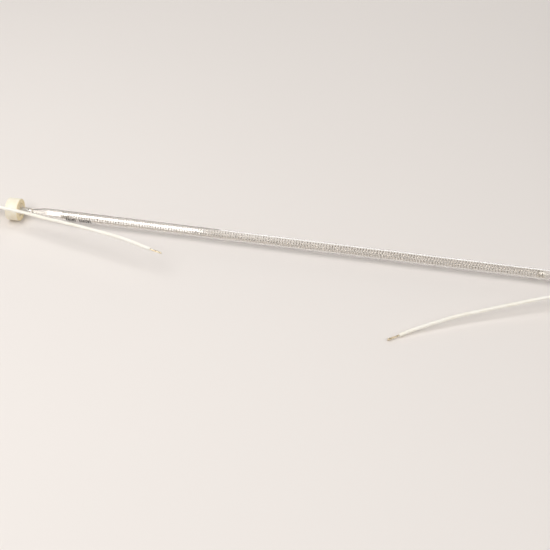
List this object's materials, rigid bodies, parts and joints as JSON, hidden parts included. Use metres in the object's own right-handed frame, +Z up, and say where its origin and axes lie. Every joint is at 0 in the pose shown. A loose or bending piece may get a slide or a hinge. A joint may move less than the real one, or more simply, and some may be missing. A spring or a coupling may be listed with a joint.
{
  "type": "quartz heating tube",
  "caption": "Straight quartz heating tube with a coiled resistance wire inside, round ceramic end caps and a flexible insulated lead with a bare end at each end.",
  "frame": {"origin": "middle of the tube's length, on the surface that the end caps stand on", "axes": "+X along the tube towards the end whose lead reaches the surface, +Z up; the leads lie on the -Y side"},
  "size_m": [0.6827, 0.1106, 0.0313],
  "materials": {
    "quartz": "clear polished fused quartz",
    "resistance_wire": "satin drawn wire",
    "lead_rod": "satin",
    "foil": "dull",
    "crimp": "satin",
    "cap_ceramic": "unglazed fired ceramic, cream",
    "cement": "matt, slightly grainy",
    "lead_jacket": "smooth, soft sheen, warm white",
    "conductor": "bright stranded wire, lightly tinned"
  },
  "bodies": {
    "root": {"quartz_tube": "quartz", "heating_coil": "resistance_wire", "inner_lead_left": "lead_rod", "inner_lead_right": "lead_rod", "seal_foil_left": "foil", "seal_foil_right": "foil", "outer_pin_left": "lead_rod", "outer_pin_right": "lead_rod", "crimp_sleeve_left": "crimp", "crimp_sleeve_right": "crimp", "end_cap_left": "cap_ceramic", "end_cap_right": "cap_ceramic", "cement_left": "cement", "cement_right": "cement", "lead_core_left": "conductor", "lead_core_right": "conductor", "lead_left": "lead_jacket", "lead_right": "lead_jacket", "bare_strands_left": "conductor", "bare_strands_right": "conductor"}
  },
  "joints": []
}
